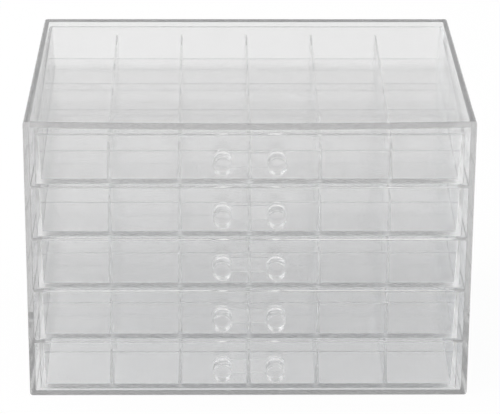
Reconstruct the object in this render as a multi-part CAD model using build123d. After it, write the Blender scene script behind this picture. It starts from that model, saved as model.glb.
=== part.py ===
from build123d import *
import os
from math import radians, tan

# Clear five-drawer cabinet for nail polish minis and other small things.
# Millimetres. X runs across the cabinet, Y from the front to the back, Z up.
# The origin is on the table, midway across and midway from the knobs to the back.

# ---- driving dimensions -------------------------------------------------

# drawers and their compartments
DRAWERS = 5
COLUMNS = 6
ROWS = 4
COLUMN_PITCH = 36.7
ROW_PITCH = 38.9
DRAWER_HEIGHT = 27.6
FRONT_THICKNESS = 2.2
TRAY_BACK_THICKNESS = 2.0
TRAY_FLOOR_THICKNESS = 2.2
TRAY_RIM_WALL = 1.8
TRAY_WALL_DRAFT = 2.5
TRAY_OUTER_RADIUS = 1.2
TRAY_INNER_RADIUS = 1.6

# notched strips that divide a tray
DIVIDER_FOOT_THICKNESS = 2.2
DIVIDER_TOP_THICKNESS = 1.0
DIVIDER_HEIGHT = 20.6
DIVIDER_END_CLEARANCE = 0.15
NOTCH_CLEARANCE = 0.1

# handle: two knobs on a waisted bar
KNOB_SPACING = 28.3
KNOB_DIAMETER = 10.0
KNOB_REACH = 10.9
KNOB_EDGE_BEVEL = 0.8
HANDLE_PAD_DIAMETER = 11.8
HANDLE_BAR_HEIGHT = 8.2
HANDLE_THICKNESS = 1.0
HANDLE_FLARE_RADIUS = 4.0

# case: one shell that narrows to the back by its mould draft
SIDE_WALL = 3.2
TOP_WALL = 3.5
FLOOR_WALL = 3.0
BACK_WALL = 3.0
OUTER_DRAFT = 1.0
INNER_DRAFT = 0.75
CASE_OUTER_RADIUS = 1.5
CASE_INNER_RADIUS = 1.0
TOP_SAG = 1.2
BACK_SAG = 0.05
LEDGE_THICKNESS = 1.7
LEDGE_BEARING = 3.0
LEDGE_END_RADIUS = 0.5

# clearances between drawers and case
RUNNING_CLEARANCE = 0.3
SIDE_CLEARANCE = 0.3
FRONT_RECESS = 1.4
REAR_GAP = 0.8
HEAD_ROOM = 4.5

# ---- sizes that follow --------------------------------------------------

OUTER_TAPER = tan(radians(OUTER_DRAFT))
INNER_TAPER = tan(radians(INNER_DRAFT))
WALL_TAPER = tan(radians(TRAY_WALL_DRAFT))

TRAY_WIDTH = COLUMNS * COLUMN_PITCH + 2 * TRAY_RIM_WALL
TRAY_INNER_DEPTH = ROWS * ROW_PITCH
TRAY_DEPTH = FRONT_THICKNESS + TRAY_INNER_DEPTH + TRAY_BACK_THICKNESS
DRAWER_PITCH = DRAWER_HEIGHT + LEDGE_THICKNESS + 2 * RUNNING_CLEARANCE
DIVIDER_MIDDLE_THICKNESS = (DIVIDER_FOOT_THICKNESS + DIVIDER_TOP_THICKNESS) / 2

CASE_DEPTH = FRONT_RECESS + TRAY_DEPTH + REAR_GAP + BACK_WALL
CAVITY_DEPTH = CASE_DEPTH - BACK_WALL
CAVITY_WIDTH = TRAY_WIDTH + 2 * (SIDE_CLEARANCE + INNER_TAPER * (FRONT_RECESS + TRAY_DEPTH))
CAVITY_HEIGHT = RUNNING_CLEARANCE + (DRAWERS - 1) * DRAWER_PITCH + DRAWER_HEIGHT + HEAD_ROOM
CASE_WIDTH = CAVITY_WIDTH + 2 * SIDE_WALL
CASE_HEIGHT = FLOOR_WALL + CAVITY_HEIGHT + TOP_WALL

KNOB_OVERHANG = KNOB_REACH - FRONT_RECESS
CASE_FRONT = (KNOB_OVERHANG - CASE_DEPTH) / 2
TRAY_FRONT = CASE_FRONT + FRONT_RECESS
INNER_FRONT = TRAY_FRONT + FRONT_THICKNESS


def drawer_floor(number):
    """Height of the underside of a drawer, which is counted from the top down."""
    return FLOOR_WALL + RUNNING_CLEARANCE + (DRAWERS - number) * DRAWER_PITCH


# ---- case ---------------------------------------------------------------

def above_top(half, top, sag, y):
    """Upright section of the space above a top whose middle dips."""
    reach = half + SIDE_WALL
    edge = top + sag * ((reach / half) ** 2 - 1)
    ceiling = top + TOP_WALL
    with BuildSketch(Plane.XZ.offset(-y)) as section:
        with BuildLine():
            ThreePointArc((-reach, edge), (0, top - sag), (reach, edge))
            Polyline((reach, edge), (reach, ceiling), (-reach, ceiling), (-reach, edge))
        make_face()
    return section.sketch.face()


def tapered_body(width, height, base, radius, depth, taper):
    """Block that narrows to the back, with round long edges and a top that dips in front."""
    shrink = depth * taper
    half = width / 2
    top = base + height
    back = CASE_FRONT + depth
    plan = make_face(
        Polyline(
            (-half, CASE_FRONT),
            (half, CASE_FRONT),
            (half - shrink, back),
            (shrink - half, back),
            close=True,
        )
    )
    body = extrude(Plane.XY.offset(base) * plan, height)
    front_section = above_top(half, top, TOP_SAG, CASE_FRONT)
    back_section = above_top(half - shrink, top - shrink, BACK_SAG, back)
    body -= loft([front_section, back_section], ruled=True)
    long_edges = [edge for edge in body.edges() if edge.bounding_box().size.Y > depth * 0.9]
    return fillet(long_edges, radius)


def ledge_pair(top):
    """Two ledges on the side walls, whose upper faces are at the given height."""
    inner_edge = TRAY_WIDTH / 2 - LEDGE_BEARING
    front_reach = CAVITY_WIDTH / 2 + SIDE_WALL / 2
    back_reach = front_reach - CAVITY_DEPTH * INNER_TAPER
    back_y = CASE_FRONT + CAVITY_DEPTH + BACK_WALL / 2
    outline = Plane.XY.offset(top - LEDGE_THICKNESS) * make_face(
        Polyline(
            (inner_edge, CASE_FRONT),
            (front_reach, CASE_FRONT),
            (back_reach, back_y),
            (inner_edge, back_y),
            close=True,
        )
    )
    ledge = extrude(outline, LEDGE_THICKNESS)
    front_corner = ledge.edges().filter_by(Axis.Z).group_by(Axis.Y)[0].sort_by(Axis.X)[0]
    ledge = fillet(front_corner, LEDGE_END_RADIUS)
    return [ledge, mirror(ledge, Plane.YZ)]


def make_case():
    outer = tapered_body(CASE_WIDTH, CASE_HEIGHT, 0, CASE_OUTER_RADIUS, CASE_DEPTH, OUTER_TAPER)
    cavity = tapered_body(
        CAVITY_WIDTH, CAVITY_HEIGHT, FLOOR_WALL, CASE_INNER_RADIUS, CAVITY_DEPTH, INNER_TAPER
    )
    case = outer - cavity
    for number in range(1, DRAWERS):
        for ledge in ledge_pair(drawer_floor(number) - RUNNING_CLEARANCE):
            case += ledge
    return case


# ---- drawer -------------------------------------------------------------

def make_tray(number):
    """Open box, front included, whose side walls thicken towards the floor."""
    floor = drawer_floor(number)
    body = Box(
        TRAY_WIDTH, TRAY_DEPTH, DRAWER_HEIGHT, align=(Align.CENTER, Align.MIN, Align.MIN)
    )
    body = fillet(body.edges().filter_by(Axis.Z), TRAY_OUTER_RADIUS)
    inner_height = DRAWER_HEIGHT - TRAY_FLOOR_THICKNESS
    width = TRAY_WIDTH - 2 * TRAY_RIM_WALL
    narrowing = 2 * inner_height * WALL_TAPER
    sections = []
    for z, section_width in ((TRAY_FLOOR_THICKNESS, width - narrowing), (DRAWER_HEIGHT, width)):
        plane = Plane.XY.offset(z)
        outline = RectangleRounded(section_width, TRAY_INNER_DEPTH, TRAY_INNER_RADIUS)
        sections.append(plane * Pos(0, FRONT_THICKNESS + TRAY_INNER_DEPTH / 2) * outline)
    hollow = loft([section.face() for section in sections], ruled=True)
    return Pos(0, TRAY_FRONT, floor) * (body - hollow)


def divider_x(index):
    return (index - COLUMNS / 2) * COLUMN_PITCH


def divider_y(index):
    return INNER_FRONT + index * ROW_PITCH


def drafted_strip(outline, length):
    """Strip with the given outline, whose sides draw in from the foot to the top."""
    half_foot = DIVIDER_FOOT_THICKNESS / 2
    half_top = DIVIDER_TOP_THICKNESS / 2
    end = Plane(origin=(0, 0, 0), x_dir=(0, 0, 1), z_dir=(-1, 0, 0)) * make_face(
        Polyline(
            (-half_foot, 0),
            (half_foot, 0),
            (half_top, DIVIDER_HEIGHT),
            (-half_top, DIVIDER_HEIGHT),
            close=True,
        )
    )
    return extrude(end, length / 2, both=True) & extrude(outline, half_foot, both=True)


def long_divider(number, index):
    """Strip across the tray, notched from its top edge to halfway down."""
    base = drawer_floor(number) + TRAY_FLOOR_THICKNESS
    half_top = TRAY_WIDTH / 2 - TRAY_RIM_WALL - DIVIDER_END_CLEARANCE
    drop = DRAWER_HEIGHT - TRAY_FLOOR_THICKNESS
    half_low = half_top - drop * WALL_TAPER
    half_high = half_low + DIVIDER_HEIGHT * WALL_TAPER
    outline = make_face(
        Polyline(
            (-half_low, 0),
            (half_low, 0),
            (half_high, DIVIDER_HEIGHT),
            (-half_high, DIVIDER_HEIGHT),
            close=True,
        )
    )
    notch = Rectangle(DIVIDER_MIDDLE_THICKNESS + 2 * NOTCH_CLEARANCE, DIVIDER_HEIGHT)
    for column in range(1, COLUMNS):
        outline -= Pos(divider_x(column), DIVIDER_HEIGHT - NOTCH_CLEARANCE / 2) * notch
    strip = drafted_strip(outline, TRAY_WIDTH)
    return Pos(0, divider_y(index), base) * (Plane.XZ * strip)


def cross_divider(number, index):
    """Strip from front to back, notched from its lower edge to halfway up."""
    base = drawer_floor(number) + TRAY_FLOOR_THICKNESS
    length = TRAY_INNER_DEPTH - 2 * DIVIDER_END_CLEARANCE
    outline = Pos(0, DIVIDER_HEIGHT / 2) * Rectangle(length, DIVIDER_HEIGHT)
    notch = Rectangle(DIVIDER_FOOT_THICKNESS + 2 * NOTCH_CLEARANCE, DIVIDER_HEIGHT)
    for row in range(1, ROWS):
        outline -= Pos((row - ROWS / 2) * ROW_PITCH, NOTCH_CLEARANCE / 2) * notch
    strip = drafted_strip(outline, TRAY_DEPTH)
    middle = INNER_FRONT + TRAY_INNER_DEPTH / 2
    return Pos(divider_x(index), middle, base) * (Plane.YZ * strip)


def make_handle(number):
    """Waisted bar flat on the drawer's front, with a round knob at each end."""
    half = KNOB_SPACING / 2
    pads = [Pos(x, 0) * Circle(HANDLE_PAD_DIAMETER / 2) for x in (-half, half)]
    plate = Rectangle(KNOB_SPACING, HANDLE_BAR_HEIGHT) + pads
    waists = [v for v in plate.vertices() if abs(v.X) < half]
    plate = fillet(waists, HANDLE_FLARE_RADIUS)
    handle = extrude(plate, HANDLE_THICKNESS)
    knob = Cylinder(
        KNOB_DIAMETER / 2, KNOB_REACH, align=(Align.CENTER, Align.CENTER, Align.MIN)
    )
    knob = chamfer(knob.edges().sort_by(Axis.Z)[-1], KNOB_EDGE_BEVEL)
    for x in (-half, half):
        handle += Pos(x, 0) * knob
    middle = drawer_floor(number) + DRAWER_HEIGHT / 2
    return Pos(0, TRAY_FRONT, middle) * (Plane.XZ * handle)


# ---- one file for each piece --------------------------------------------

def write(shape, node):
    export_step(shape, f"parts/{node}.step")


def main():
    os.makedirs("parts", exist_ok=True)
    write(make_case(), "case")
    for number in range(1, DRAWERS + 1):
        drawer = f"drawer_{number}"
        write(make_tray(number), f"{drawer}_tray")
        write(make_handle(number), f"{drawer}_handle")
        for index in range(1, ROWS):
            write(long_divider(number, index), f"{drawer}_long_divider_{index}")
        for index in range(1, COLUMNS):
            write(cross_divider(number, index), f"{drawer}_cross_divider_{index}")


main()
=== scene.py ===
import math

import bmesh
import bpy
from bpy.props import FloatProperty, FloatVectorProperty, IntProperty, PointerProperty
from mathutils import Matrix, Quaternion, Vector


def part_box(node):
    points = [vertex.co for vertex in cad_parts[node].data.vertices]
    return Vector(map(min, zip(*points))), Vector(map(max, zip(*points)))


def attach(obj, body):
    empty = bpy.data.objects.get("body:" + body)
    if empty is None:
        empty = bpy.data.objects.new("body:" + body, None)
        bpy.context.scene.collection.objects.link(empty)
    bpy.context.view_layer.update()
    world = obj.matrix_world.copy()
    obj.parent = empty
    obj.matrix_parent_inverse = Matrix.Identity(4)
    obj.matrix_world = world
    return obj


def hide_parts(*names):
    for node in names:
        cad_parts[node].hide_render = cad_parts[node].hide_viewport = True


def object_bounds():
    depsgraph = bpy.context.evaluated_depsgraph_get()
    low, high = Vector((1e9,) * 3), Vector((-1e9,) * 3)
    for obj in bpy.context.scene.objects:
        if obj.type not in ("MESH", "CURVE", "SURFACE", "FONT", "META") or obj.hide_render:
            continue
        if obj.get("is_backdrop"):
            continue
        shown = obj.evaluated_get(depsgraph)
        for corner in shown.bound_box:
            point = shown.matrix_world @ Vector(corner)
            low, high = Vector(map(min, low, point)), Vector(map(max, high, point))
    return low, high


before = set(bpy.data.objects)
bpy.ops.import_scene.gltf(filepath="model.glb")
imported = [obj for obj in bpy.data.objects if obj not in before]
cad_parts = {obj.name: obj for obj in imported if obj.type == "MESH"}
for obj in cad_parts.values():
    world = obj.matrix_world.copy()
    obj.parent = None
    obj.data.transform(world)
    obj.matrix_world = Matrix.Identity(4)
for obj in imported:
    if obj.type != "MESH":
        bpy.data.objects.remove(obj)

bl_info = {
    "name": "Clear Drawer Cabinet",
    "version": (1, 0, 0),
    "blender": (4, 5, 0),
    "location": "3D View > Sidebar > Cabinet",
    "description": "Models a clear moulded cabinet of divided drawers around its packed CAD frame",
    "category": "Add Mesh",
}

MM = 0.001
CAD_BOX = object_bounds()
CASE_LOW, CASE_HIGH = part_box("case")
DRAWERS = sorted({name.split("_")[1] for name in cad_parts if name.startswith("drawer_")})
LONG_DIVIDERS = sorted(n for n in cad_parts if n.startswith("drawer_1_long_divider"))
CROSS_DIVIDERS = sorted(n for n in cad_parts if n.startswith("drawer_1_cross_divider"))

# segments that each rounding and curve is made of
CORNER_STEPS = 4
ROUND_STEPS = 3
KNOB_EDGE_STEPS = 6
KNOB_SIDES = 64
PAD_STEPS = 20
FLARE_STEPS = 6

# how near two places must be to count as one, and to be joined into one vertex
REACH = 0.02 * MM
JOIN_REACH = 0.01 * MM
# share of a direction or of a length that counts as all of it
MOSTLY = 0.9
# edges sharper than this are rounded, and those flatter than the other are shaded smooth
SHARP_ANGLE = math.radians(40)
SMOOTH_ANGLE = math.radians(35)
# a face as good as flat is merged with its neighbour
FLAT_ANGLE = math.radians(1)
# full pull of a large face on the shading of the rounding beside it
FACE_PULL = 100

# ripples per metre, their height, and the least and most haze of each clear plastic
MOULDED_FINISHES = {
    "clear case plastic": (18.0, 0.008 * MM, (0.03, 0.1)),
    "clear drawer plastic": (26.0, 0.008 * MM, (0.0, 0.04)),
    "clear divider plastic": (34.0, 0.008 * MM, (0.05, 0.12)),
    "clear handle plastic": (60.0, 0.005 * MM, (0.0, 0.03)),
}
# soft ripples have little fine detail, haze has more
RIPPLE_DETAIL = 2.0
RIPPLE_FINENESS = 0.35
HAZE_DETAIL = 4.0
# stretch of the haze noise that is spread from the least haze to the most
HAZE_FROM = 0.35
HAZE_TO = 0.75
# what a clear wall leaves of a lamp's light
WALL_SHADE = (0.93, 0.935, 0.94, 1)
# how far above and below a tray's floor its frosting still reaches
FROST_MARGIN = 0.5 * MM

WHITE = (1, 1, 1, 1)
TABLE_COLOUR = (0.93, 0.93, 0.93, 1)
TABLE_ROUGHNESS = 0.9
# the stage, in metres
TABLE_SIZE = 12
SOFTBOX_PLACE = (-1.35, -0.2, 1.8)
SOFTBOX_AIM = (0, 0, 0.08)
SOFTBOX_SIZE = (1.4, 1.0)
CAMERA_NEAR = 0.01
CAMERA_FAR = 50
# light that runs along inside a thin wall is reflected dozens of times
LIGHT_BOUNCES = 128
# heights in degrees at which the studio's brightness changes
HORIZON_TOP = 5
WALL_LOW = 26
WALL_HIGH = 50
CEILING_EDGE = 75


# ---- sizes and finishes that a user would change ------------------------

class CaseForm(bpy.types.PropertyGroup):
    side_wall: FloatProperty(
        name="Side Wall", description="Thickness of the side walls at the open front",
        default=3.2 * MM, subtype="DISTANCE", unit="LENGTH")
    top_wall: FloatProperty(
        name="Top Wall", description="Thickness of the top at the open front",
        default=3.5 * MM, subtype="DISTANCE", unit="LENGTH")
    floor_wall: FloatProperty(
        name="Floor", description="Thickness of the case floor",
        default=3.0 * MM, subtype="DISTANCE", unit="LENGTH")
    back_wall: FloatProperty(
        name="Back Wall", description="Thickness of the back",
        default=3.0 * MM, subtype="DISTANCE", unit="LENGTH")
    outer_draft: FloatProperty(
        name="Outer Draft", description="Mould draft of the outside, which narrows the back",
        default=math.radians(1.0), subtype="ANGLE", unit="ROTATION")
    inner_draft: FloatProperty(
        name="Inner Draft", description="Mould draft of the inside",
        default=math.radians(0.75), subtype="ANGLE", unit="ROTATION")
    top_sag: FloatProperty(
        name="Top Sag", description="How far the middle of the top's front edge dips",
        default=1.2 * MM, subtype="DISTANCE", unit="LENGTH")
    corner_radius: FloatProperty(
        name="Corner Radius", description="Radius of the four long outer corners",
        default=1.5 * MM, subtype="DISTANCE", unit="LENGTH")
    edge_round: FloatProperty(
        name="Edge Rounding", description="Small rounding left on every other edge",
        default=0.35 * MM, subtype="DISTANCE", unit="LENGTH")
    ledge_thickness: FloatProperty(
        name="Ledge Thickness", description="Thickness of the ledges that carry the drawers",
        default=1.7 * MM, subtype="DISTANCE", unit="LENGTH")
    ledge_bearing: FloatProperty(
        name="Ledge Bearing", description="How far a ledge reaches under its drawer",
        default=3.0 * MM, subtype="DISTANCE", unit="LENGTH")
    ledge_end_radius: FloatProperty(
        name="Ledge End Radius", description="Radius of a ledge's front corner",
        default=0.5 * MM, subtype="DISTANCE", unit="LENGTH")
    running_gap: FloatProperty(
        name="Running Gap", description="Clearance between a drawer and its ledge",
        default=0.3 * MM, subtype="DISTANCE", unit="LENGTH")
    slices: IntProperty(
        name="Slices", description="Strips across the case that let its top curve",
        default=14)


class TrayForm(bpy.types.PropertyGroup):
    rim_wall: FloatProperty(
        name="Rim Wall", description="Thickness of the side walls at the rim",
        default=1.8 * MM, subtype="DISTANCE", unit="LENGTH")
    front_wall: FloatProperty(
        name="Front", description="Thickness of the drawer's front",
        default=2.2 * MM, subtype="DISTANCE", unit="LENGTH")
    back_wall: FloatProperty(
        name="Back", description="Thickness of the tray's back",
        default=2.0 * MM, subtype="DISTANCE", unit="LENGTH")
    floor_wall: FloatProperty(
        name="Floor", description="Thickness of the tray's floor",
        default=2.2 * MM, subtype="DISTANCE", unit="LENGTH")
    wall_draft: FloatProperty(
        name="Wall Draft", description="Slope of the inner side walls",
        default=math.radians(2.5), subtype="ANGLE", unit="ROTATION")
    corner_radius: FloatProperty(
        name="Corner Radius", description="Radius of the upright outer corners",
        default=1.2 * MM, subtype="DISTANCE", unit="LENGTH")
    inner_radius: FloatProperty(
        name="Inner Corner Radius", description="Radius of the upright inner corners",
        default=0.5 * MM, subtype="DISTANCE", unit="LENGTH")
    edge_round: FloatProperty(
        name="Edge Rounding", description="Small rounding on the moulded edges",
        default=0.3 * MM, subtype="DISTANCE", unit="LENGTH")


class DividerForm(bpy.types.PropertyGroup):
    top_thickness: FloatProperty(
        name="Top Thickness", description="Thickness of a strip at its top edge",
        default=1.0 * MM, subtype="DISTANCE", unit="LENGTH")
    notch_clearance: FloatProperty(
        name="Notch Clearance", description="Room on each side of a strip in its notch",
        default=0.1 * MM, subtype="DISTANCE", unit="LENGTH")
    bond_depth: FloatProperty(
        name="Bond Depth", description="How deep a strip's foot sits in the tray's floor",
        default=0.05 * MM, subtype="DISTANCE", unit="LENGTH")
    edge_round: FloatProperty(
        name="Edge Rounding", description="Small rounding on the strip's edges",
        default=0.15 * MM, subtype="DISTANCE", unit="LENGTH")


class HandleForm(bpy.types.PropertyGroup):
    knob_diameter: FloatProperty(
        name="Knob Diameter", description="Diameter of a knob",
        default=10.0 * MM, subtype="DISTANCE", unit="LENGTH")
    knob_edge: FloatProperty(
        name="Knob Edge", description="Radius round the knob's end",
        default=0.5 * MM, subtype="DISTANCE", unit="LENGTH")
    pad_diameter: FloatProperty(
        name="Pad Diameter", description="Diameter of the round pad behind a knob",
        default=11.8 * MM, subtype="DISTANCE", unit="LENGTH")
    bar_height: FloatProperty(
        name="Bar Height", description="Height of the bar between the pads",
        default=8.2 * MM, subtype="DISTANCE", unit="LENGTH")
    thickness: FloatProperty(
        name="Bar Thickness", description="Thickness of the bar and its pads",
        default=1.0 * MM, subtype="DISTANCE", unit="LENGTH")
    flare_radius: FloatProperty(
        name="Flare Radius", description="Radius where the bar runs into a pad",
        default=4.0 * MM, subtype="DISTANCE", unit="LENGTH")
    bond_depth: FloatProperty(
        name="Bond Depth", description="How deep the handle is melted into the drawer's front",
        default=0.1 * MM, subtype="DISTANCE", unit="LENGTH")
    edge_round: FloatProperty(
        name="Edge Rounding", description="Small rounding on the bar's edge",
        default=0.25 * MM, subtype="DISTANCE", unit="LENGTH")


class PlasticFinish(bpy.types.PropertyGroup):
    tint: FloatVectorProperty(
        name="Tint", description="Colour of the clear plastic's surface",
        default=(0.998, 0.998, 0.998), subtype="COLOR", size=3, min=0, max=1)
    depth_colour: FloatVectorProperty(
        name="Depth Colour", description="Colour that the plastic takes on along a long path",
        default=(0.5, 0.5, 0.5), subtype="COLOR", size=3, min=0, max=1)
    case_density: FloatProperty(
        name="Case Density", description="How fast the case darkens with depth, per metre",
        default=6.2)
    drawer_density: FloatProperty(
        name="Drawer Density", description="How fast the drawers darken with depth, per metre",
        default=1.5)
    case_clarity: FloatProperty(
        name="Case Clarity",
        description="Clear share of the case's surface, the rest a pale veil",
        default=1.0)
    drawer_clarity: FloatProperty(
        name="Drawer Clarity",
        description="Clear share of a drawer's surface, the rest a pale veil",
        default=0.998)
    floor_haze: FloatProperty(
        name="Floor Haze",
        description="Roughness of the trays' floors, which blurs what lies below",
        default=0.135)
    ior: FloatProperty(
        name="Refraction", description="Refractive index of the plastic",
        default=1.5)


class StageView(bpy.types.PropertyGroup):
    camera_place: FloatVectorProperty(
        name="Camera Place", description="Where the camera stands",
        default=(-0.0214, -1.4527, 0.7069), subtype="TRANSLATION", unit="LENGTH", size=3)
    focal_length: FloatProperty(
        name="Focal Length", description="Focal length of the camera in millimetres",
        default=206.3)
    pitch: FloatProperty(
        name="Pitch", description="How far the camera looks down",
        default=math.radians(23.45), subtype="ANGLE", unit="ROTATION")
    yaw: FloatProperty(
        name="Yaw", description="How far the camera looks to the right",
        default=math.radians(0.90), subtype="ANGLE", unit="ROTATION")
    roll: FloatProperty(
        name="Roll", description="How far the view tilts clockwise",
        default=math.radians(0.32), subtype="ANGLE", unit="ROTATION")
    table_gap: FloatProperty(
        name="Table Gap",
        description="How far the table lies under the case, so the two never touch",
        default=0.3 * MM, subtype="DISTANCE", unit="LENGTH")


class StageLight(bpy.types.PropertyGroup):
    horizon_glow: FloatProperty(
        name="Horizon Glow", description="Brightness of the studio at the height of the table",
        default=1.0)
    wall_glow: FloatProperty(
        name="Wall Glow", description="Brightness of the studio's walls",
        default=0.5)
    ceiling_glow: FloatProperty(
        name="Ceiling Glow", description="Brightness of the studio straight overhead",
        default=0.55)
    camera_table_glow: FloatProperty(
        name="Table Glow To The Camera",
        description="Share of plain white in the table as the camera sees it",
        default=0.96)
    table_glow: FloatProperty(
        name="Table Glow Through Plastic",
        description="Share of plain white in the table as it shows in and through the plastic",
        default=0.6)
    key_power: FloatProperty(
        name="Key Light", description="Power of the large softbox at the upper left",
        default=38.0, subtype="POWER", unit="POWER")


# ---- modelling helpers --------------------------------------------------

def deselect():
    if bpy.context.object and bpy.context.object.mode != "OBJECT":
        bpy.ops.object.mode_set(mode="OBJECT")
    bpy.ops.object.select_all(action="DESELECT")


def make_active(obj):
    deselect()
    obj.select_set(True)
    bpy.context.view_layer.objects.active = obj


def block(name, low, high):
    """Adds a cube stretched between two corners, with its place in its mesh."""
    deselect()
    low, high = Vector(low), Vector(high)
    bpy.ops.mesh.primitive_cube_add(size=1, location=(low + high) / 2)
    obj = bpy.context.active_object
    obj.name = obj.data.name = name
    obj.scale = high - low
    bpy.ops.object.transform_apply(location=True, rotation=True, scale=True)
    return obj


def edit(obj):
    make_active(obj)
    bpy.ops.object.mode_set(mode="EDIT")
    bpy.ops.mesh.select_mode(type="FACE")
    bpy.ops.mesh.select_all(action="DESELECT")


def done():
    bpy.ops.object.mode_set(mode="OBJECT")


def pick(obj, kind, test):
    """In edit mode, selects only the elements of a kind for which the test holds."""
    bpy.ops.mesh.select_mode(type=kind)
    bpy.ops.mesh.select_all(action="DESELECT")
    mesh = bmesh.from_edit_mesh(obj.data)
    elements = {"VERT": mesh.verts, "EDGE": mesh.edges, "FACE": mesh.faces}[kind]
    for element in elements:
        if test(element):
            element.select_set(True)
    mesh.select_flush_mode()
    bmesh.update_edit_mesh(obj.data)


def near(a, b, reach=REACH):
    return abs(a - b) < reach


def move(value):
    bpy.ops.transform.translate(value=value)


def stretch(value, centre):
    bpy.ops.transform.resize(value=value, center_override=centre)


def slice_at(obj, point, normal, test=None):
    """Cuts the chosen faces, or all of them, along a plane."""
    pick(obj, "FACE", test or (lambda face: True))
    bpy.ops.mesh.bisect(plane_co=point, plane_no=normal)


def finish_edges(obj, width):
    """Rounds what is still sharp, then shades the rounding smooth and the large faces flat."""
    make_active(obj)
    bevel = obj.modifiers.new("rounding", "BEVEL")
    bevel.width = width
    bevel.segments = ROUND_STEPS
    bevel.limit_method = "ANGLE"
    bevel.angle_limit = SHARP_ANGLE
    bpy.ops.object.modifier_apply(modifier=bevel.name)
    bpy.ops.object.shade_smooth_by_angle(angle=SMOOTH_ANGLE)
    weight = obj.modifiers.new("flat faces stay flat", "WEIGHTED_NORMAL")
    weight.mode = "FACE_AREA"
    weight.weight = FACE_PULL
    weight.keep_sharp = True
    bpy.ops.object.modifier_apply(modifier=weight.name)


def combine(obj, other, operation):
    """Joins or cuts the piece with another mesh, which is then removed."""
    make_active(obj)
    boolean = obj.modifiers.new("combine", "BOOLEAN")
    boolean.operation = operation
    boolean.solver = "EXACT"
    boolean.object = other
    bpy.ops.object.modifier_apply(modifier=boolean.name)
    bpy.data.objects.remove(other)


def copy_of(obj, name, offset):
    """Copies a finished piece with its own mesh, moved within the mesh."""
    make_active(obj)
    bpy.ops.object.duplicate(linked=False)
    twin = bpy.context.active_object
    twin.name = twin.data.name = name
    twin.location = offset
    bpy.ops.object.transform_apply(location=True, rotation=False, scale=False)
    return twin


def middle_of(node):
    low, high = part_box(node)
    return (low + high) / 2


def dress(obj, material, body, node):
    """Gives a piece its finish, ties it to its body and lets it stand for its CAD node."""
    obj.data.materials.clear()
    obj.data.materials.append(material)
    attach(obj, body)
    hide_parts(node)


# ---- finishes -----------------------------------------------------------

def moulded_surface_group():
    """Shared node group: the faint ripple and haze that moulding leaves on clear plastic."""
    if "moulded surface" in bpy.data.node_groups:
        return bpy.data.node_groups["moulded surface"]
    group = bpy.data.node_groups.new("moulded surface", "ShaderNodeTree")
    for name, kind, value in (
        ("Ripple Scale", "NodeSocketFloat", 30.0),
        ("Haze Scale", "NodeSocketFloat", 90.0),
        ("Least Haze", "NodeSocketFloat", 0.0),
        ("Most Haze", "NodeSocketFloat", 0.05),
        ("Tint", "NodeSocketColor", (1, 1, 1, 1)),
        ("Tint Change", "NodeSocketFloat", 0.01),
    ):
        socket = group.interface.new_socket(name, in_out="INPUT", socket_type=kind)
        socket.default_value = value
    for name, kind in (
        ("Colour", "NodeSocketColor"),
        ("Roughness", "NodeSocketFloat"),
        ("Height", "NodeSocketFloat"),
    ):
        group.interface.new_socket(name, in_out="OUTPUT", socket_type=kind)
    nodes, links = group.nodes, group.links
    inputs = nodes.new("NodeGroupInput")
    outputs = nodes.new("NodeGroupOutput")
    place = nodes.new("ShaderNodeTexCoord")
    ripple = nodes.new("ShaderNodeTexNoise")
    ripple.inputs["Detail"].default_value = RIPPLE_DETAIL
    ripple.inputs["Roughness"].default_value = RIPPLE_FINENESS
    haze = nodes.new("ShaderNodeTexNoise")
    haze.inputs["Detail"].default_value = HAZE_DETAIL
    links.new(place.outputs["Object"], ripple.inputs["Vector"])
    links.new(place.outputs["Object"], haze.inputs["Vector"])
    links.new(inputs.outputs["Ripple Scale"], ripple.inputs["Scale"])
    links.new(inputs.outputs["Haze Scale"], haze.inputs["Scale"])
    spread = nodes.new("ShaderNodeMapRange")
    spread.inputs["From Min"].default_value = HAZE_FROM
    spread.inputs["From Max"].default_value = HAZE_TO
    links.new(haze.outputs["Fac"], spread.inputs["Value"])
    links.new(inputs.outputs["Least Haze"], spread.inputs["To Min"])
    links.new(inputs.outputs["Most Haze"], spread.inputs["To Max"])
    shade = nodes.new("ShaderNodeMapRange")
    shade.inputs["To Min"].default_value = 1.0
    fade = nodes.new("ShaderNodeMath")
    fade.operation = "SUBTRACT"
    fade.inputs[0].default_value = 1.0
    links.new(inputs.outputs["Tint Change"], fade.inputs[1])
    links.new(fade.outputs["Value"], shade.inputs["To Max"])
    links.new(haze.outputs["Fac"], shade.inputs["Value"])
    tone = nodes.new("ShaderNodeMix")
    tone.data_type = "RGBA"
    tone.blend_type = "MULTIPLY"
    tone.inputs["Factor"].default_value = 1.0
    links.new(inputs.outputs["Tint"], tone.inputs["A"])
    links.new(shade.outputs["Result"], tone.inputs["B"])
    links.new(tone.outputs["Result"], outputs.inputs["Colour"])
    links.new(spread.outputs["Result"], outputs.inputs["Roughness"])
    links.new(ripple.outputs["Fac"], outputs.inputs["Height"])
    return group


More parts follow.
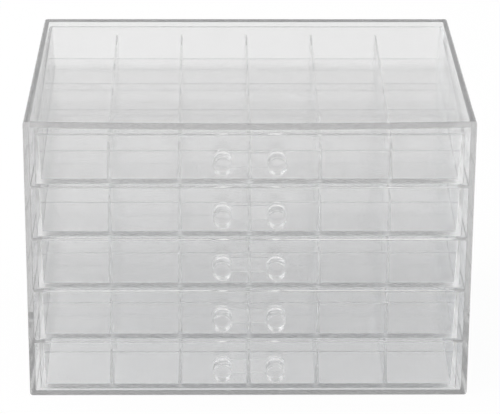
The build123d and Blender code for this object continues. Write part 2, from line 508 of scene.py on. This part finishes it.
def clear_plastic(name, clarity, density):
    """Clear moulded plastic: refracting, slightly grey with depth, faintly rippled and veiled."""
    finish = bpy.context.scene.plastic_finish
    ripple_scale, ripple_height, haze = MOULDED_FINISHES[name]
    material = bpy.data.materials.new(name)
    material.use_nodes = True
    nodes, links = material.node_tree.nodes, material.node_tree.links
    shader = nodes["Principled BSDF"]
    output = nodes["Material Output"]
    shader.inputs["Transmission Weight"].default_value = clarity
    shader.inputs["IOR"].default_value = finish.ior
    surface = nodes.new("ShaderNodeGroup")
    surface.node_tree = moulded_surface_group()
    surface.inputs["Ripple Scale"].default_value = ripple_scale
    surface.inputs["Least Haze"].default_value, surface.inputs["Most Haze"].default_value = haze
    surface.inputs["Tint"].default_value = (*finish.tint, 1.0)
    links.new(surface.outputs["Colour"], shader.inputs["Base Color"])
    links.new(surface.outputs["Roughness"], shader.inputs["Roughness"])
    bump = nodes.new("ShaderNodeBump")
    bump.inputs["Distance"].default_value = ripple_height
    bump.inputs["Strength"].default_value = 1.0
    links.new(surface.outputs["Height"], bump.inputs["Height"])
    links.new(bump.outputs["Normal"], shader.inputs["Normal"])
    # lamps shine through a clear wall instead of casting a solid shadow
    rays = nodes.new("ShaderNodeLightPath")
    veil = nodes.new("ShaderNodeBsdfTransparent")
    veil.inputs["Color"].default_value = WALL_SHADE
    either = nodes.new("ShaderNodeMixShader")
    links.new(rays.outputs["Is Shadow Ray"], either.inputs["Fac"])
    links.new(shader.outputs["BSDF"], either.inputs[1])
    links.new(veil.outputs["BSDF"], either.inputs[2])
    links.new(either.outputs["Shader"], output.inputs["Surface"])
    depth = nodes.new("ShaderNodeVolumeAbsorption")
    depth.inputs["Color"].default_value = (*finish.depth_colour, 1.0)
    depth.inputs["Density"].default_value = density
    links.new(depth.outputs["Volume"], output.inputs["Volume"])
    return material


def frosted_floors(material, haze):
    """Roughens a tray's floor, which carries fine scratches and mould texture, in every drawer."""
    nodes, links = material.node_tree.nodes, material.node_tree.links
    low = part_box(f"drawer_{DRAWERS[-1]}_tray")[0].z
    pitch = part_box(f"drawer_{DRAWERS[-2]}_tray")[0].z - low
    thickness = bpy.context.scene.tray_form.floor_wall
    place = nodes.new("ShaderNodeTexCoord")
    parts = nodes.new("ShaderNodeSeparateXYZ")
    links.new(place.outputs["Object"], parts.inputs["Vector"])
    height = parts.outputs["Z"]
    for operation, value in (
        ("SUBTRACT", low - FROST_MARGIN),
        ("MODULO", pitch),
        ("LESS_THAN", thickness + 2 * FROST_MARGIN),
        ("MULTIPLY", haze),
    ):
        step = nodes.new("ShaderNodeMath")
        step.operation = operation
        step.inputs[1].default_value = value
        links.new(height, step.inputs[0])
        height = step.outputs["Value"]
    shader = nodes["Principled BSDF"]
    total = nodes.new("ShaderNodeMath")
    links.new(shader.inputs["Roughness"].links[0].from_socket, total.inputs[0])
    links.new(height, total.inputs[1])
    links.new(total.outputs["Value"], shader.inputs["Roughness"])


def material_for(name):
    """The named finish, made at its first use."""
    if name in bpy.data.materials:
        return bpy.data.materials[name]
    finish = bpy.context.scene.plastic_finish
    drawer = (finish.drawer_clarity, finish.drawer_density)
    clarity, density = {
        "clear case plastic": (finish.case_clarity, finish.case_density),
        "clear handle plastic": (1.0, finish.drawer_density),
    }.get(name, drawer)
    material = clear_plastic(name, clarity, density)
    if name == "clear drawer plastic":
        frosted_floors(material, finish.floor_haze)
    return material


# ---- pieces -------------------------------------------------------------

class CABINET_OT_case(bpy.types.Operator):
    """Model the one-piece case with its drafted walls and drawer ledges"""
    bl_idname = "cabinet.case"
    bl_label = "Case"

    def execute(self, context):
        form = context.scene.case_form
        low, high = CASE_LOW, CASE_HIGH
        width, depth, height = high - low
        case = block("case_shell", low, high)
        edit(case)
        for step in range(1, form.slices):
            slice_at(case, (low.x + width * step / form.slices, 0, 0), (1, 0, 0))

        # the outside narrows to the back
        shrink = depth * math.tan(form.outer_draft)
        pick(case, "VERT", lambda v: near(v.co.y, high.y))
        stretch(((width - 2 * shrink) / width, 1, (height - shrink) / height), (0, high.y, 0))

        # the cavity: set in from the front by the walls, then pushed to the back
        pick(case, "FACE", lambda f: f.normal.y < -MOSTLY)
        bpy.ops.mesh.inset(thickness=form.side_wall, use_boundary=True, use_even_offset=True)
        rim_top = high.z - form.side_wall
        rim_floor = low.z + form.side_wall
        pick(case, "VERT", lambda v: near(v.co.y, low.y) and near(v.co.z, rim_top))
        move((0, 0, form.side_wall - form.top_wall))
        pick(case, "VERT", lambda v: near(v.co.y, low.y) and near(v.co.z, rim_floor))
        move((0, 0, form.floor_wall - form.side_wall))
        inner_half = width / 2 - form.side_wall
        cavity_depth = depth - form.back_wall
        inner_height = height - form.top_wall - form.floor_wall
        pick(case, "FACE", lambda f: f.normal.y < -MOSTLY
             and abs(f.calc_center_median().x) < inner_half
             and form.floor_wall < f.calc_center_median().z < height - form.top_wall)
        bpy.ops.mesh.extrude_region_move(TRANSFORM_OT_translate={"value": (0, cavity_depth, 0)})
        inner_shrink = cavity_depth * math.tan(form.inner_draft)
        stretch(
            (1 - inner_shrink / inner_half, 1, 1 - inner_shrink / inner_height),
            (0, low.y + cavity_depth, form.floor_wall),
        )

        # the long outer corners, then the dip of the top
        corner = lambda v: abs(v.co.x) > width / 2 - shrink - form.side_wall / 4 and (
            v.co.z < form.floor_wall / 4 or v.co.z > height - shrink - form.top_wall / 4)
        pick(case, "EDGE", lambda e: abs(e.verts[0].co.y - e.verts[1].co.y) > depth * MOSTLY
             and all(corner(v) for v in e.verts))
        bpy.ops.mesh.bevel(offset=form.corner_radius, segments=CORNER_STEPS, affect="EDGES")
        half = width / 2
        for step in range(1, form.slices):
            x = low.x + width * step / form.slices
            dip = -form.top_sag * (1 - (x / half) ** 2)
            pick(case, "VERT", lambda v: near(v.co.x, x) and near(v.co.y, low.y)
                 and v.co.z > height - 2 * form.top_wall)
            move((0, 0, dip))
        done()
        combine(case, self.ledges(form, inner_half, inner_shrink, cavity_depth), "UNION")
        finish_edges(case, form.edge_round)
        dress(case, material_for("clear case plastic"), "cabinet", "case")
        return {"FINISHED"}

    def ledges(self, form, inner_half, inner_shrink, cavity_depth):
        """All the ledges as one mesh, each run into the side wall and the back wall."""
        front = CASE_LOW.y
        back = front + cavity_depth + form.back_wall / 2
        inner_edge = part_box("drawer_1_tray")[1].x - form.ledge_bearing
        into_wall = inner_half + form.side_wall / 2
        strips = []
        for drawer in DRAWERS[:-1]:
            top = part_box(f"drawer_{drawer}_tray")[0].z - form.running_gap
            for side in (-1, 1):
                ends = sorted((side * inner_edge, side * into_wall))
                strip = block(
                    "ledge", (ends[0], front, top - form.ledge_thickness), (ends[1], back, top))
                edit(strip)
                pick(strip, "VERT", lambda v: near(v.co.y, back) and near(v.co.x, side * into_wall))
                move((-side * inner_shrink, 0, 0))
                pick(strip, "EDGE", lambda e: all(
                    near(v.co.y, front) and near(v.co.x, side * inner_edge) for v in e.verts))
                bpy.ops.mesh.bevel(
                    offset=form.ledge_end_radius, segments=ROUND_STEPS, affect="EDGES")
                done()
                strips.append(strip)
        deselect()
        for strip in strips:
            strip.select_set(True)
        bpy.context.view_layer.objects.active = strips[0]
        bpy.ops.object.join()
        return strips[0]


class CABINET_OT_trays(bpy.types.Operator):
    """Model a drawer tray, front included, and copy it down the cabinet"""
    bl_idname = "cabinet.trays"
    bl_label = "Trays"

    def execute(self, context):
        form = context.scene.tray_form
        low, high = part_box("drawer_1_tray")
        tray = block("tray_1", low, high)
        edit(tray)
        pick(tray, "FACE", lambda f: f.normal.z > MOSTLY)
        bpy.ops.mesh.inset(thickness=form.rim_wall)
        mid_y = (low.y + high.y) / 2
        inner = lambda v: abs(v.co.x) < high.x - form.rim_wall / 2 and near(v.co.z, high.z)
        pick(tray, "VERT", lambda v: inner(v) and v.co.y < mid_y)
        move((0, form.front_wall - form.rim_wall, 0))
        pick(tray, "VERT", lambda v: inner(v) and v.co.y > mid_y)
        move((0, form.rim_wall - form.back_wall, 0))
        pick(tray, "FACE", lambda f: f.normal.z > MOSTLY
             and abs(f.calc_center_median().x) < high.x / 2
             and abs(f.calc_center_median().y - mid_y) < (high.y - low.y) / 4)
        drop = high.z - low.z - form.floor_wall
        bpy.ops.mesh.extrude_region_move(TRANSFORM_OT_translate={"value": (0, 0, -drop)})
        inner_half = high.x - form.rim_wall
        stretch((1 - drop * math.tan(form.wall_draft) / inner_half, 1, 1), (0, 0, low.z))
        upright = lambda e: abs(e.verts[0].co.z - e.verts[1].co.z) > drop * MOSTLY
        outer = lambda v: near(abs(v.co.x), high.x)
        pick(tray, "EDGE", lambda e: upright(e) and all(outer(v) for v in e.verts))
        bpy.ops.mesh.bevel(offset=form.corner_radius, segments=CORNER_STEPS, affect="EDGES")
        pick(tray, "EDGE", lambda e: upright(e) and not any(
            abs(v.co.x) > high.x - form.rim_wall / 2 for v in e.verts)
            and all(v.co.y > low.y + form.front_wall / 2 for v in e.verts)
            and all(v.co.y < high.y - form.back_wall / 2 for v in e.verts))
        bpy.ops.mesh.bevel(offset=form.inner_radius, segments=CORNER_STEPS, affect="EDGES")
        done()
        finish_edges(tray, form.edge_round)
        plastic = material_for("clear drawer plastic")
        for drawer in DRAWERS:
            node = f"drawer_{drawer}_tray"
            offset = Vector((0, 0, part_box(node)[0].z - low.z))
            piece = tray if drawer == DRAWERS[0] else copy_of(tray, f"tray_{drawer}", offset)
            dress(piece, plastic, f"drawer_{drawer}", node)
        return {"FINISHED"}


def notched_strip(name, low, high, along, notches, notch_width, notch_side, form):
    """A thin upright strip along X (0) or Y (1), notched to half its height at the given places.

    A notch_side of 1 cuts the notches from the top edge, -1 from the lower edge.
    """
    across = 1 - along
    deselect()
    bpy.ops.mesh.primitive_plane_add(size=1)
    strip = bpy.context.active_object
    strip.name = strip.data.name = name
    strip.rotation_euler = (math.pi / 2, 0, math.pi / 2 * along)
    strip.scale = (high[along] - low[along], high.z - low.z, 1)
    strip.location = (low + high) / 2
    bpy.ops.object.transform_apply(location=True, rotation=True, scale=True)
    edit(strip)
    cut = Vector((0, 0, 0))
    way = Vector((0, 0, 0))
    way[along] = 1
    for place in notches:
        for side in (-1, 1):
            cut[along] = place + side * notch_width / 2
            slice_at(strip, cut, way)
    notch_end = (low.z + high.z) / 2 - notch_side * form.notch_clearance / 2
    slice_at(strip, (0, 0, notch_end), (0, 0, 1))
    in_notch = lambda c: (c.z - notch_end) * notch_side > 0 and any(
        near(c[along], place, notch_width / 4) for place in notches)
    pick(strip, "FACE", lambda f: in_notch(f.calc_center_median()))
    bpy.ops.mesh.delete(type="FACE")
    pick(strip, "FACE", lambda f: True)
    bpy.ops.mesh.dissolve_limited(angle_limit=FLAT_ANGLE)
    done()
    make_active(strip)
    wall = strip.modifiers.new("thickness", "SOLIDIFY")
    wall.thickness = high[across] - low[across]
    wall.offset = 0
    bpy.ops.object.modifier_apply(modifier=wall.name)
    # the sides draw in from the foot to the top, as the mould needs
    foot = high[across] - low[across]
    middle = (low + high) / 2
    edit(strip)
    for height in (notch_end, high.z):
        share = (height - low.z) / (high.z - low.z)
        narrow = [1, 1, 1]
        narrow[across] = 1 - share * (1 - form.top_thickness / foot)
        pick(strip, "VERT", lambda v: near(v.co.z, height))
        stretch(narrow, middle)
    done()
    return strip


class CABINET_OT_dividers(bpy.types.Operator):
    """Model the notched strips that split each tray, long ones and cross ones"""
    bl_idname = "cabinet.dividers"
    bl_label = "Dividers"

    def execute(self, context):
        form = context.scene.divider_form
        tray = context.scene.tray_form
        columns = [middle_of(node).x for node in CROSS_DIVIDERS]
        rows = [middle_of(node).y for node in LONG_DIVIDERS]
        cross_low, cross_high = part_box(CROSS_DIVIDERS[0])
        long_low, long_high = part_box(LONG_DIVIDERS[0])
        foot = cross_high.x - cross_low.x
        middle = (foot + form.top_thickness) / 2
        bond = Vector((0, 0, -form.bond_depth))

        long_strip = notched_strip(
            "long_divider", long_low + bond, long_high, 0, columns,
            middle + 2 * form.notch_clearance, 1, form)
        edit(long_strip)
        pick(long_strip, "VERT", lambda v: near(v.co.z, long_low.z - form.bond_depth)
             and near(abs(v.co.x), long_high.x))
        lean = (long_high.z - long_low.z) * math.tan(tray.wall_draft)
        stretch((1 - lean / long_high.x, 1, 1), (0, 0, 0))
        done()
        cross_strip = notched_strip(
            "cross_divider", cross_low + bond, cross_high, 1, rows,
            foot + 2 * form.notch_clearance, -1, form)

        plastic = material_for("clear divider plastic")
        for kind, strip, nodes in (
            ("long", long_strip, LONG_DIVIDERS), ("cross", cross_strip, CROSS_DIVIDERS)
        ):
            finish_edges(strip, form.edge_round)
            for drawer in DRAWERS:
                for index, first_node in enumerate(nodes, 1):
                    node = first_node.replace("drawer_1", f"drawer_{drawer}")
                    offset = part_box(node)[0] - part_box(nodes[0])[0]
                    piece = copy_of(strip, f"{kind}_divider_{drawer}_{index}", offset)
                    dress(piece, plastic, f"drawer_{drawer}", node)
            bpy.data.objects.remove(strip)
        return {"FINISHED"}


class CABINET_OT_handles(bpy.types.Operator):
    """Model the two-knob handle on its waisted bar and copy it to every drawer"""
    bl_idname = "cabinet.handles"
    bl_label = "Handles"

    def execute(self, context):
        form = context.scene.handle_form
        low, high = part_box("drawer_1_handle")
        centre = (low + high) / 2
        back = high.y + form.bond_depth
        bar_front = high.y - form.thickness
        apart = (high.x - low.x - form.pad_diameter) / 2
        bar = self.plate(form, apart, centre.z, bar_front, back)
        for side in (-1, 1):
            deselect()
            knob_back = bar_front + form.thickness / 2
            bpy.ops.mesh.primitive_cylinder_add(
                vertices=KNOB_SIDES, radius=form.knob_diameter / 2, depth=knob_back - low.y,
                location=(side * apart, (low.y + knob_back) / 2, centre.z),
                rotation=(math.pi / 2, 0, 0))
            knob = context.active_object
            bpy.ops.object.transform_apply(location=True, rotation=True, scale=True)
            edit(knob)
            pick(knob, "EDGE", lambda e: all(near(v.co.y, low.y) for v in e.verts))
            bpy.ops.mesh.bevel(offset=form.knob_edge, segments=KNOB_EDGE_STEPS, affect="EDGES")
            done()
            combine(bar, knob, "UNION")
        finish_edges(bar, form.edge_round)
        plastic = material_for("clear handle plastic")
        for drawer in DRAWERS:
            node = f"drawer_{drawer}_handle"
            offset = Vector((0, 0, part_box(node)[0].z - low.z))
            piece = bar if drawer == DRAWERS[0] else copy_of(bar, f"handle_{drawer}", offset)
            piece.name = piece.data.name = f"handle_{drawer}"
            dress(piece, plastic, f"drawer_{drawer}", node)
        return {"FINISHED"}

    def plate(self, form, apart, z, front, back):
        """Waisted plate: a quarter of its outline is spun, mirrored twice, filled and thickened."""
        radius = form.pad_diameter / 2
        flare = form.flare_radius
        half = form.bar_height / 2
        rise = half + flare
        run = math.sqrt((radius + flare) ** 2 - rise ** 2)
        turn = math.atan2(rise, -run)
        deselect()
        bpy.ops.mesh.primitive_plane_add(size=1)
        plate = bpy.context.active_object
        plate.name = plate.data.name = "handle_plate"
        edit(plate)
        bpy.ops.mesh.select_mode(type="VERT")
        bpy.ops.mesh.select_all(action="SELECT")
        bpy.ops.mesh.merge(type="CENTER")
        move((apart + radius, front, z))
        bpy.ops.mesh.spin(
            steps=PAD_STEPS, angle=turn, center=(apart, front, z), axis=(0, 1, 0))
        bpy.ops.mesh.spin(
            steps=FLARE_STEPS, angle=math.pi / 2 - turn,
            center=(apart - run, front, z + rise), axis=(0, 1, 0))
        bpy.ops.mesh.extrude_region_move(TRANSFORM_OT_translate={"value": (run - apart, 0, 0)})
        for flip in ((1, 1, -1), (-1, 1, 1)):
            bpy.ops.mesh.select_all(action="SELECT")
            bpy.ops.mesh.duplicate()
            stretch(flip, (0, front, z))
        bpy.ops.mesh.select_all(action="SELECT")
        bpy.ops.mesh.remove_doubles(threshold=JOIN_REACH)
        bpy.ops.mesh.select_all(action="SELECT")
        bpy.ops.mesh.edge_face_add()
        bpy.ops.mesh.extrude_region_move(TRANSFORM_OT_translate={"value": (0, back - front, 0)})
        bpy.ops.mesh.select_all(action="SELECT")
        bpy.ops.mesh.normals_make_consistent(inside=False)
        done()
        return plate


# ---- stage --------------------------------------------------------------

def studio_world(stage):
    """Studio that is white at table height and greyer above, the same on every side."""
    world = bpy.data.worlds.new("studio")
    bpy.context.scene.world = world
    world.use_nodes = True
    nodes, links = world.node_tree.nodes, world.node_tree.links
    room = nodes["Background"]
    room.inputs["Color"].default_value = WHITE
    place = nodes.new("ShaderNodeTexCoord")
    parts = nodes.new("ShaderNodeSeparateXYZ")
    links.new(place.outputs["Generated"], parts.inputs["Vector"])
    # height of a direction, from straight down at 0 to straight up at 1
    height = nodes.new("ShaderNodeMapRange")
    height.inputs["From Min"].default_value = -1.0
    links.new(parts.outputs["Z"], height.inputs["Value"])
    glow = nodes.new("ShaderNodeValToRGB")
    links.new(height.outputs["Result"], glow.inputs["Fac"])
    bands = (
        (HORIZON_TOP, stage.horizon_glow),
        (WALL_LOW, stage.wall_glow),
        (WALL_HIGH, stage.wall_glow),
        (CEILING_EDGE, stage.ceiling_glow),
    )
    ramp = glow.color_ramp
    while len(ramp.elements) < len(bands):
        ramp.elements.new(1.0)
    for element, (degrees, strength) in zip(ramp.elements, bands):
        element.position = (1 + math.sin(math.radians(degrees))) / 2
        element.color = (strength, strength, strength, 1)
    links.new(glow.outputs["Color"], room.inputs["Strength"])
    backdrop = nodes.new("ShaderNodeBackground")
    backdrop.inputs["Color"].default_value = WHITE
    rays = nodes.new("ShaderNodeLightPath")
    either = nodes.new("ShaderNodeMixShader")
    links.new(rays.outputs["Is Camera Ray"], either.inputs["Fac"])
    links.new(room.outputs["Background"], either.inputs[1])
    links.new(backdrop.outputs["Background"], either.inputs[2])
    links.new(either.outputs["Shader"], nodes["World Output"].inputs["Surface"])


def floor_finish(stage):
    """White table top with a faint shadow: white to the camera, greyer through the plastic."""
    material = bpy.data.materials.new("white table")
    material.use_nodes = True
    nodes, links = material.node_tree.nodes, material.node_tree.links
    paper = nodes["Principled BSDF"]
    paper.inputs["Base Color"].default_value = TABLE_COLOUR
    paper.inputs["Roughness"].default_value = TABLE_ROUGHNESS
    paper.inputs["Specular IOR Level"].default_value = 0.0
    glow = nodes.new("ShaderNodeEmission")
    rays = nodes.new("ShaderNodeLightPath")
    share = None
    for ray, glow_share in (
        ("Is Camera Ray", stage.camera_table_glow),
        ("Is Glossy Ray", stage.table_glow),
        ("Is Transmission Ray", stage.table_glow),
    ):
        part = nodes.new("ShaderNodeMath")
        part.operation = "MULTIPLY"
        part.inputs[1].default_value = glow_share
        links.new(rays.outputs[ray], part.inputs[0])
        if share:
            either = nodes.new("ShaderNodeMath")
            either.operation = "MAXIMUM"
            links.new(share.outputs["Value"], either.inputs[0])
            links.new(part.outputs["Value"], either.inputs[1])
            part = either
        share = part
    either = nodes.new("ShaderNodeMixShader")
    links.new(share.outputs["Value"], either.inputs["Fac"])
    links.new(paper.outputs["BSDF"], either.inputs[1])
    links.new(glow.outputs["Emission"], either.inputs[2])
    links.new(either.outputs["Shader"], nodes["Material Output"].inputs["Surface"])
    return material


class CABINET_OT_stage(bpy.types.Operator):
    """Set the camera, the white table and the soft studio light"""
    bl_idname = "cabinet.stage"
    bl_label = "Stage"

    def execute(self, context):
        scene = context.scene
        stage = scene.stage_light
        view = scene.stage_view
        scene.view_settings.view_transform = "Standard"
        scene.cycles.max_bounces = LIGHT_BOUNCES
        scene.cycles.transmission_bounces = LIGHT_BOUNCES
        scene.cycles.glossy_bounces = LIGHT_BOUNCES
        scene.cycles.transparent_max_bounces = LIGHT_BOUNCES
        scene.cycles.caustics_reflective = False
        scene.cycles.caustics_refractive = False
        studio_world(stage)

        deselect()
        bpy.ops.mesh.primitive_plane_add(size=TABLE_SIZE, location=(0, 0, -view.table_gap))
        table = context.active_object
        table.name = table.data.name = "table_top"
        table.data.materials.append(floor_finish(stage))
        table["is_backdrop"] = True

        bpy.ops.object.light_add(type="AREA", location=SOFTBOX_PLACE)
        key = context.active_object
        key.name = key.data.name = "side_softbox"
        key.data.shape = "RECTANGLE"
        key.data.size, key.data.size_y = SOFTBOX_SIZE
        key.data.energy = stage.key_power
        facing = Vector(SOFTBOX_AIM) - key.location
        key.rotation_euler = facing.to_track_quat("-Z", "Y").to_euler()

        bpy.ops.object.camera_add(location=view.camera_place)
        camera = context.active_object
        camera.data.lens = view.focal_length
        camera.data.clip_start, camera.data.clip_end = CAMERA_NEAR, CAMERA_FAR
        level = math.cos(view.pitch)
        forward = Vector((
            math.sin(view.yaw) * level, math.cos(view.yaw) * level, -math.sin(view.pitch)))
        turn = forward.to_track_quat("-Z", "Y")
        camera.rotation_euler = (Quaternion(forward, -view.roll) @ turn).to_euler()
        scene.camera = camera
        return {"FINISHED"}


# ---- panel and registration ---------------------------------------------

class CABINET_PT_panel(bpy.types.Panel):
    """Lists the cabinet's pieces and its stage"""
    bl_idname = "CABINET_PT_panel"
    bl_label = "Clear Drawer Cabinet"
    bl_space_type = "VIEW_3D"
    bl_region_type = "UI"
    bl_category = "Cabinet"

    def draw(self, context):
        for operator in OPERATORS:
            self.layout.operator(operator.bl_idname)
        for name in GROUPS:
            settings = getattr(context.scene, name)
            box = self.layout.box()
            for prop in settings.bl_rna.properties:
                if not prop.is_readonly and prop.identifier != "name":
                    box.prop(settings, prop.identifier)


GROUPS = {
    "case_form": CaseForm,
    "tray_form": TrayForm,
    "divider_form": DividerForm,
    "handle_form": HandleForm,
    "plastic_finish": PlasticFinish,
    "stage_light": StageLight,
    "stage_view": StageView,
}
OPERATORS = (
    CABINET_OT_case,
    CABINET_OT_trays,
    CABINET_OT_dividers,
    CABINET_OT_handles,
    CABINET_OT_stage,
)


def register():
    for cls in (*GROUPS.values(), *OPERATORS, CABINET_PT_panel):
        bpy.utils.register_class(cls)
    for name, cls in GROUPS.items():
        setattr(bpy.types.Scene, name, PointerProperty(type=cls))


def unregister():
    for name in GROUPS:
        delattr(bpy.types.Scene, name)
    for cls in (CABINET_PT_panel, *reversed(OPERATORS), *reversed(GROUPS.values())):
        bpy.utils.unregister_class(cls)


def main():
    register()
    bpy.ops.cabinet.case()
    bpy.ops.cabinet.trays()
    bpy.ops.cabinet.dividers()
    bpy.ops.cabinet.handles()
    bpy.ops.cabinet.stage()
    sizes = {
        "cad_box": [list(corner) for corner in CAD_BOX],
        "visual_box": [list(corner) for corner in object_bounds()],
    }


if __name__ == "__main__":
    main()
